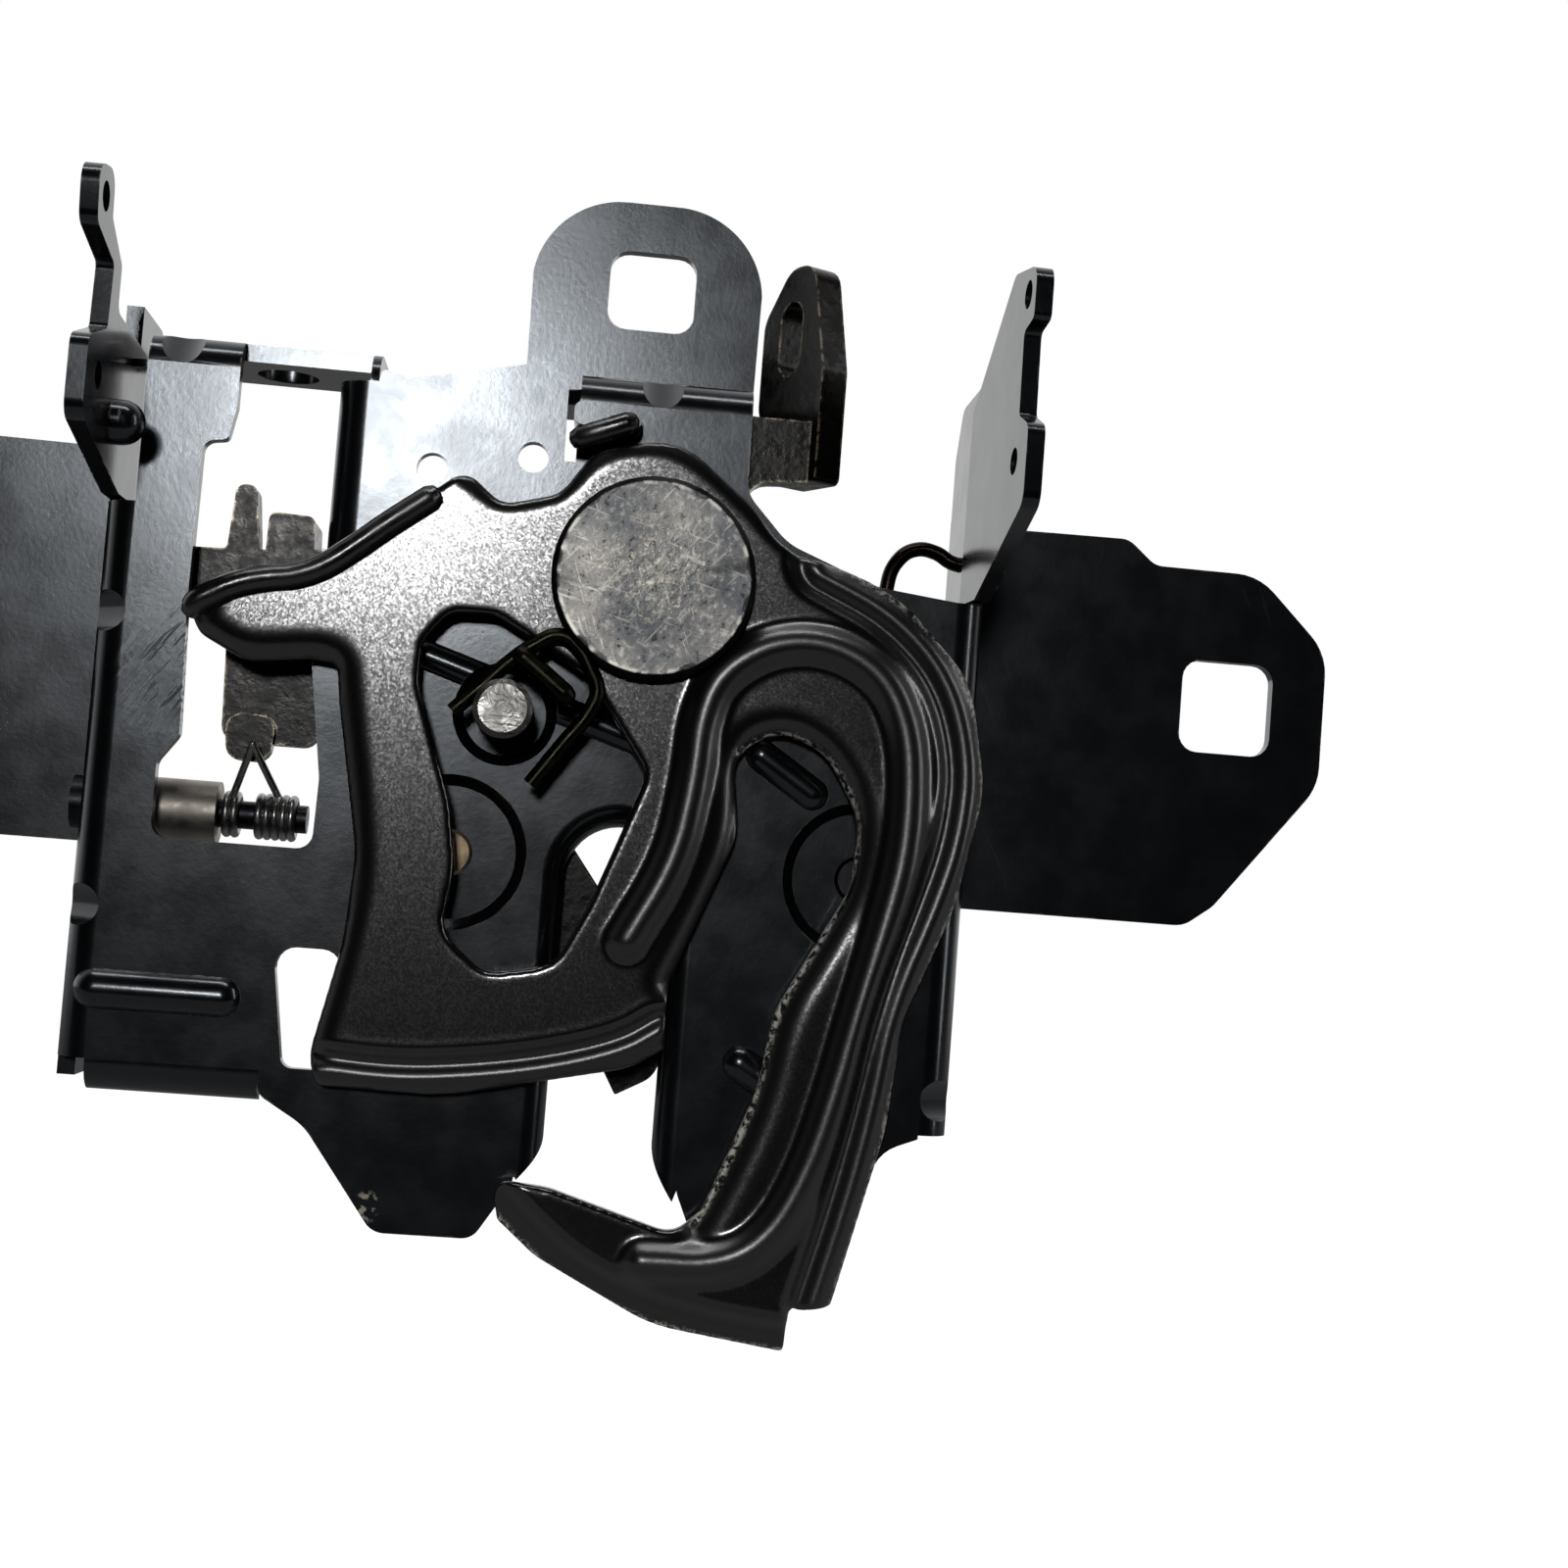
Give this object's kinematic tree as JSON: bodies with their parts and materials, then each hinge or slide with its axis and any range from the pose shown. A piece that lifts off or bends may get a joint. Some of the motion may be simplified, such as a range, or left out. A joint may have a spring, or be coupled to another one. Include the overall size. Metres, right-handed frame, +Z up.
{
  "type": "bonnet latch",
  "caption": "Folded sheet-steel bonnet latch with side and top fixing tabs, a pressed safety hook in front of a striker throat, and a rotary catch, pawl and cable release lever behind.",
  "frame": {"origin": "midway between the centres of the two side bolt holes, on the rear plane of the tabs that meets the car body", "axes": "+X to the right seen from the front, +Y to the back through the mounting plane, +Z up as pictured, with the striker throat opening towards -Z"},
  "size_m": [0.219, 0.0507, 0.1516],
  "materials": {
    "lock_plate": "satin black dip coat, scuffed",
    "backing_plate": "satin black dip coat",
    "safety_hook": "gloss black coat with fine grain and chipped edges",
    "hook_rivet": "dull mottled steel",
    "hook_washer": "dark steel",
    "hook_spring": "dark oiled spring wire",
    "spring_bar": "dark oiled steel",
    "stop_pin": "bright worn steel",
    "catch_fork": "brown-black burnished steel",
    "catch_rivet": "yellow passivated steel",
    "catch_bush": "natural nylon",
    "catch_spring": "dark spring wire",
    "pawl": "brown-black burnished steel",
    "pawl_rivet": "dark steel",
    "pawl_bush": "natural nylon",
    "pawl_spring": "dark bronze spring wire",
    "release_lever": "brown-black burnished steel with bright sheared edges",
    "lever_spacer": "dark steel",
    "lever_washer": "dark steel",
    "return_spring": "zinc plated spring wire",
    "spring_pin": "zinc plated steel",
    "spring_bush": "light grey plastic"
  },
  "bodies": {
    "case": {"lock_plate": "lock_plate", "backing_plate": "backing_plate", "hook_rivet": "hook_rivet", "hook_washer": "hook_washer", "stop_pin": "stop_pin", "catch_rivet": "catch_rivet", "catch_bush": "catch_bush", "catch_spring": "catch_spring", "pawl_rivet": "pawl_rivet", "pawl_bush": "pawl_bush", "pawl_spring": "pawl_spring", "lever_spacer": "lever_spacer", "lever_washer": "lever_washer", "return_spring": "return_spring", "spring_pin": "spring_pin", "spring_bush": "spring_bush"},
    "hook": {"safety_hook": "safety_hook", "spring_bar": "spring_bar", "hook_spring": "hook_spring"},
    "catch": {"catch_fork": "catch_fork"},
    "locking_pawl": {"pawl": "pawl"},
    "lever": {"release_lever": "release_lever"}
  },
  "joints": [
    {"name": "hook_swing", "type": "hinge", "parent": "case", "child": "hook", "pos_m": [0.013, -0.03, 0.007], "axis": [0, -1, 0], "range_deg": [0, 15], "stiffness_Nm_per_rad": 0.15, "springref_deg": -20.05, "deforming": ["hook_spring"]},
    {"name": "catch_turn", "type": "hinge", "parent": "case", "child": "catch", "pos_m": [-0.01, -0.0196, -0.029], "axis": [0, -1, 0], "range_deg": [0, 60], "stiffness_Nm_per_rad": 0.1, "springref_deg": -28.65, "deforming": ["catch_spring"]},
    {"name": "release_pull", "type": "hinge", "parent": "case", "child": "lever", "pos_m": [0.013, -0.0196, 0.007], "axis": [0, 1, 0], "range_deg": [0, 9], "stiffness_Nm_per_rad": 0.2, "springref_deg": -17.19, "deforming": ["return_spring"]},
    {"name": "pawl_turn", "type": "hinge", "parent": "case", "child": "locking_pawl", "pos_m": [0.0425, -0.0196, -0.0285], "axis": [0, -1, 0], "range_deg": [0, 11.25], "deforming": ["pawl_spring"]}
  ],
  "couplings": [
    {"joint": "pawl_turn", "follows": "release_pull", "ratio": 1.25}
  ]
}
